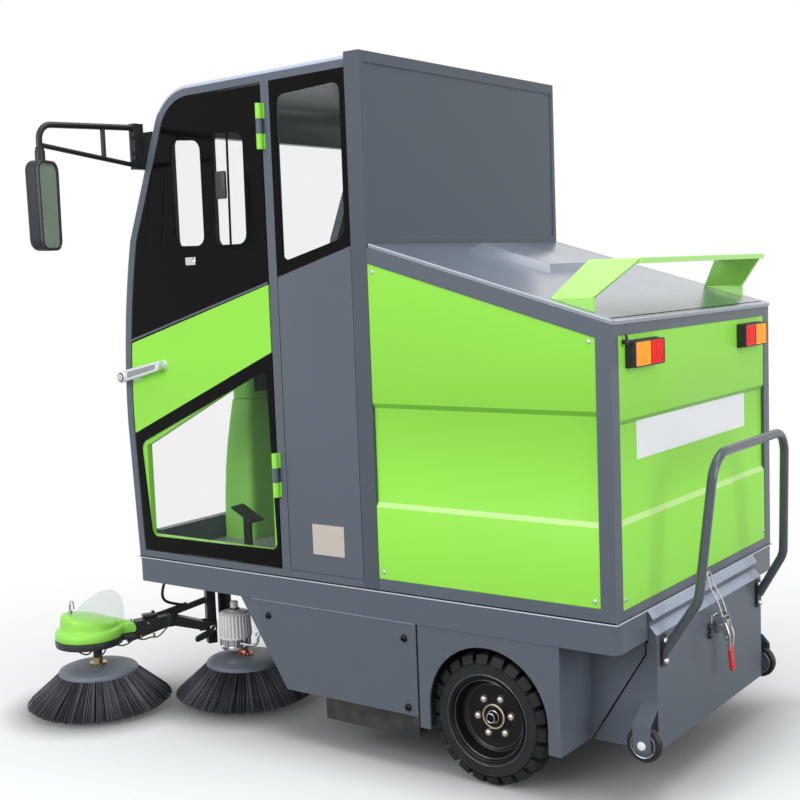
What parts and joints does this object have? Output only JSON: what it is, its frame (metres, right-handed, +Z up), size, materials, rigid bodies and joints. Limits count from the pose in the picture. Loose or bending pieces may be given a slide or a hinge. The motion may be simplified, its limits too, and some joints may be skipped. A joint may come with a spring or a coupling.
{
  "type": "ride-on street sweeper",
  "caption": "Compact ride-on street sweeper with a closed cab, side brushes on lifting arms, a sloping lidded rear body and a slide-out debris hopper on casters.",
  "frame": {"origin": "on the ground under the middle of the whole machine, brushes, mirrors and push handle included", "axes": "+Z up, +Y towards the rear, +X towards the vehicle's left, so the front faces -Y"},
  "size_m": [2.0804, 2.3972, 2.1099],
  "materials": {
    "black_paint": "satin black paint",
    "black_plastic": "black moulded plastic",
    "bristle": "dark grey bristles under a grey moulded disc",
    "broom_bristle": "black bristle strips",
    "chrome_silver": "bright plated",
    "clear_glass": "clear glass",
    "door_pane": "dark tinted glass with a black border",
    "flap_rubber": "matt black rubber sheet",
    "lamp_lens": "red and amber lens in a black base",
    "lime_paint": "gloss lime green paint",
    "lime_plastic": "gloss lime green moulding",
    "motor_silver": "satin cast aluminium",
    "rim_black": "semi-gloss black paint",
    "seat_cover": "black seat cover",
    "slate_paint": "satin slate grey paint",
    "steel": "zinc plated steel",
    "tyre_rubber": "matt black rubber"
  },
  "bodies": {
    "chassis": {"chassis_frame": "slate_paint", "rear_axle": "black_paint", "cab_frame": "slate_paint", "roof_panel": "slate_paint", "windscreen": "clear_glass", "cab_wall": "slate_paint", "mid_panels": "slate_paint", "quarter_glass": "door_pane", "door_hinges": "lime_paint", "body_frame": "slate_paint", "side_panels": "lime_paint", "rear_panel": "lime_paint", "rear_lamps": "lamp_lens", "side_skirts": "slate_paint", "wheel_housings": "slate_paint", "rubber_flaps": "flap_rubber", "brush_posts": "black_paint", "brush_motors": "motor_silver", "broom_brackets": "black_paint", "dash_console": "lime_plastic", "steering_column": "black_plastic", "seat_base": "black_paint", "seat": "seat_cover", "pedals": "black_paint", "battery_pack": "black_plastic", "mirror_arms": "black_paint", "mirror_heads": "black_plastic"},
    "door_left": {"door_left": "lime_paint", "door_glass_left": "door_pane", "door_handle_left": "chrome_silver"},
    "door_right": {"door_right": "lime_paint", "door_glass_right": "door_pane", "door_handle_right": "chrome_silver"},
    "deck_lid": {"deck_lid": "slate_paint", "spoiler": "lime_paint"},
    "rear_wheel_left": {"rear_tyre_left": "tyre_rubber", "rear_rim_left": "rim_black"},
    "rear_wheel_right": {"rear_tyre_right": "tyre_rubber", "rear_rim_right": "rim_black"},
    "front_fork": {"front_fork": "black_paint"},
    "front_wheel": {"front_tyre": "tyre_rubber", "front_rim": "rim_black"},
    "hopper": {"hopper_bin": "slate_paint", "caster_brackets": "slate_paint", "push_handle": "slate_paint", "hopper_latch": "steel"},
    "caster_left": {"caster_wheel_left": "flap_rubber"},
    "caster_right": {"caster_wheel_right": "flap_rubber"},
    "brush_arm_left": {"brush_arm_left": "black_paint", "brush_cover_left": "lime_plastic"},
    "outer_brush_left": {"outer_brush_left": "bristle"},
    "inner_brush_left": {"inner_brush_left": "bristle"},
    "brush_arm_right": {"brush_arm_right": "black_paint", "brush_cover_right": "lime_plastic"},
    "outer_brush_right": {"outer_brush_right": "bristle"},
    "inner_brush_right": {"inner_brush_right": "bristle"},
    "main_broom": {"main_broom": "broom_bristle"}
  },
  "joints": [
    {"name": "steering", "type": "hinge", "parent": "chassis", "child": "front_fork", "pos_m": [0, -0.176, 0.4], "axis": [0, 0, 1], "range_deg": [-60, 60]},
    {"name": "front_wheel_spin", "type": "hinge", "parent": "front_fork", "child": "front_wheel", "pos_m": [0, -0.176, 0.195], "axis": [1, 0, 0], "continuous": true},
    {"name": "deck_lid_lift", "type": "hinge", "parent": "chassis", "child": "deck_lid", "pos_m": [0, 0.26385, 1.55184], "axis": [1, 0, 0], "range_deg": [0, 50]},
    {"name": "hopper_slide", "type": "slide", "parent": "chassis", "child": "hopper", "axis": [0, 1, 0], "range_m": [0, 0.6]},
    {"name": "main_broom_spin", "type": "hinge", "parent": "chassis", "child": "main_broom", "pos_m": [0, 0.2, 0.15], "axis": [1, 0, 0], "continuous": true},
    {"name": "rear_wheel_left_spin", "type": "hinge", "parent": "chassis", "child": "rear_wheel_left", "pos_m": [0.492, 0.606, 0.195], "axis": [1, 0, 0], "continuous": true},
    {"name": "door_left_swing", "type": "hinge", "parent": "chassis", "child": "door_left", "pos_m": [0.572, -0.124, 1.2], "axis": [0, 0, 1], "range_deg": [0, 80]},
    {"name": "caster_left_spin", "type": "hinge", "parent": "hopper", "child": "caster_left", "pos_m": [0.428, 1.043, 0.174], "axis": [1, 0, 0], "continuous": true},
    {"name": "brush_arm_left_lift", "type": "hinge", "parent": "chassis", "child": "brush_arm_left", "pos_m": [0.273, -0.74, 0.232], "axis": [-0.5037, -0.8639, 0], "range_deg": [0, 20]},
    {"name": "outer_brush_left_spin", "type": "hinge", "parent": "brush_arm_left", "child": "outer_brush_left", "pos_m": [0.628, -0.947, 0.1], "axis": [0, 0, 1], "continuous": true},
    {"name": "inner_brush_left_spin", "type": "hinge", "parent": "chassis", "child": "inner_brush_left", "pos_m": [0.29, -0.563, 0.1], "axis": [0, 0, 1], "continuous": true},
    {"name": "rear_wheel_right_spin", "type": "hinge", "parent": "chassis", "child": "rear_wheel_right", "pos_m": [-0.492, 0.606, 0.195], "axis": [1, 0, 0], "continuous": true},
    {"name": "door_right_swing", "type": "hinge", "parent": "chassis", "child": "door_right", "pos_m": [-0.572, -0.124, 1.2], "axis": [0, 0, -1], "range_deg": [0, 80]},
    {"name": "caster_right_spin", "type": "hinge", "parent": "hopper", "child": "caster_right", "pos_m": [-0.428, 1.043, 0.174], "axis": [1, 0, 0], "continuous": true},
    {"name": "brush_arm_right_lift", "type": "hinge", "parent": "chassis", "child": "brush_arm_right", "pos_m": [-0.273, -0.74, 0.232], "axis": [-0.5037, 0.8639, 0], "range_deg": [0, 20]},
    {"name": "outer_brush_right_spin", "type": "hinge", "parent": "brush_arm_right", "child": "outer_brush_right", "pos_m": [-0.628, -0.947, 0.1], "axis": [0, 0, 1], "continuous": true},
    {"name": "inner_brush_right_spin", "type": "hinge", "parent": "chassis", "child": "inner_brush_right", "pos_m": [-0.29, -0.563, 0.1], "axis": [0, 0, 1], "continuous": true}
  ]
}
